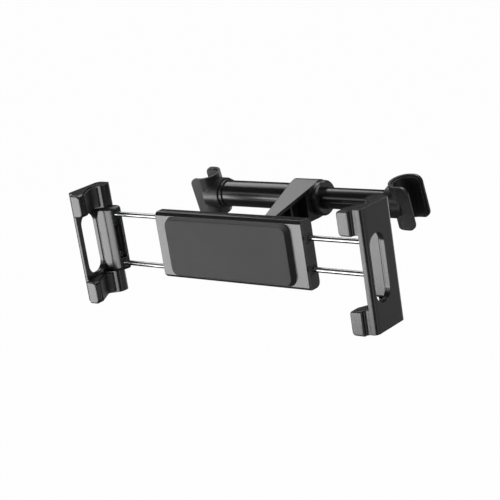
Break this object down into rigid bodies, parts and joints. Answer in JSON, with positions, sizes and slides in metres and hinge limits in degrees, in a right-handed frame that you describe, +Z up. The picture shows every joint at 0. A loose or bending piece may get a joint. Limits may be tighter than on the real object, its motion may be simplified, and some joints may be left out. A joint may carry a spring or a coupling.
{
  "type": "headrest tablet mount",
  "caption": "Telescopic tablet holder with hooks for headrest posts, a tilting arm, a ball joint, and slotted jaws that slide on chromed rods.",
  "frame": {"origin": "centre of the pad's front face, where the back of the tablet lies", "axes": "+X along the cradle to the right as a passenger sees it, +Y away from the tablet towards the headrest, +Z up"},
  "size_m": [0.2926, 0.1454, 0.0922],
  "materials": {
    "moulded_black": "satin, fine spark-eroded texture",
    "soft_pad": "matte, soft-touch",
    "grip_rubber": "matte",
    "rod_chrome": "polished",
    "tube_coat": "satin black coat",
    "screw_steel": "zinc plated",
    "bearing_plastic": "smooth acetal"
  },
  "bodies": {
    "hanger": {"outer_tube": "tube_coat", "left_end_ring": "moulded_black", "left_tube_plug": "bearing_plastic", "tube_collet": "bearing_plastic", "left_hook": "moulded_black", "left_hook_liner": "grip_rubber", "left_hook_screw": "screw_steel"},
    "slider": {"inner_tube": "tube_coat", "tube_guide": "bearing_plastic", "right_tube_plug": "bearing_plastic", "right_hook": "moulded_black", "right_hook_liner": "grip_rubber", "right_hook_screw": "screw_steel"},
    "collar": {"lock_collar": "moulded_black"},
    "swing_arm": {"arm": "moulded_black", "arm_bush": "bearing_plastic", "ball_stud": "screw_steel", "stud_pin": "screw_steel"},
    "pan_link": {"ball_seat_rear": "bearing_plastic"},
    "tilt_link": {"ball_seat_front": "bearing_plastic"},
    "nut": {"lock_nut": "moulded_black"},
    "cradle": {"back_cover": "moulded_black", "front_cover": "moulded_black", "face_pad": "soft_pad", "cover_screws": "screw_steel", "brake_rings": "grip_rubber", "left_rod_bush_upper": "bearing_plastic", "left_rod_bush_lower": "bearing_plastic", "right_rod_bush_upper": "bearing_plastic", "right_rod_bush_lower": "bearing_plastic"},
    "left_slider": {"left_jaw": "moulded_black", "left_carriage": "moulded_black", "left_carriage_screws": "screw_steel", "left_rod_upper": "rod_chrome", "left_rod_lower": "rod_chrome", "left_grip_upper": "grip_rubber", "left_grip_lower": "grip_rubber"},
    "right_slider": {"right_jaw": "moulded_black", "right_carriage": "moulded_black", "right_carriage_screws": "screw_steel", "right_rod_upper": "rod_chrome", "right_rod_lower": "rod_chrome", "right_grip_upper": "grip_rubber", "right_grip_lower": "grip_rubber"}
  },
  "joints": [
    {"name": "post_span", "type": "slide", "parent": "hanger", "child": "slider", "axis": [1, 0, 0], "range_m": [-0.045, 0.02]},
    {"name": "collar_turn", "type": "hinge", "parent": "hanger", "child": "collar", "pos_m": [0, 0.1075, 0.0125], "axis": [1, 0, 0], "range_deg": [0, 60]},
    {"name": "arm_tilt", "type": "hinge", "parent": "hanger", "child": "swing_arm", "pos_m": [0, 0.1075, 0.0125], "axis": [1, 0, 0], "range_deg": [-90, 90]},
    {"name": "ball_pan", "type": "hinge", "parent": "swing_arm", "child": "pan_link", "pos_m": [0, 0.02855, 0], "axis": [0, 0, 1], "range_deg": [-15, 15]},
    {"name": "ball_tilt", "type": "hinge", "parent": "pan_link", "child": "tilt_link", "pos_m": [0, 0.02855, 0], "axis": [1, 0, 0], "range_deg": [-15, 15]},
    {"name": "cradle_swivel", "type": "hinge", "parent": "tilt_link", "child": "cradle", "pos_m": [0, 0.02855, 0], "axis": [0, 1, 0], "continuous": true},
    {"name": "nut_turn", "type": "hinge", "parent": "cradle", "child": "nut", "pos_m": [0, 0.02855, 0], "axis": [0, 1, 0], "range_deg": [0, 90]},
    {"name": "left_jaw_slide", "type": "slide", "parent": "cradle", "child": "left_slider", "axis": [1, 0, 0], "range_m": [0, 0.045]},
    {"name": "right_jaw_slide", "type": "slide", "parent": "cradle", "child": "right_slider", "axis": [-1, 0, 0], "range_m": [0, 0.045]}
  ]
}
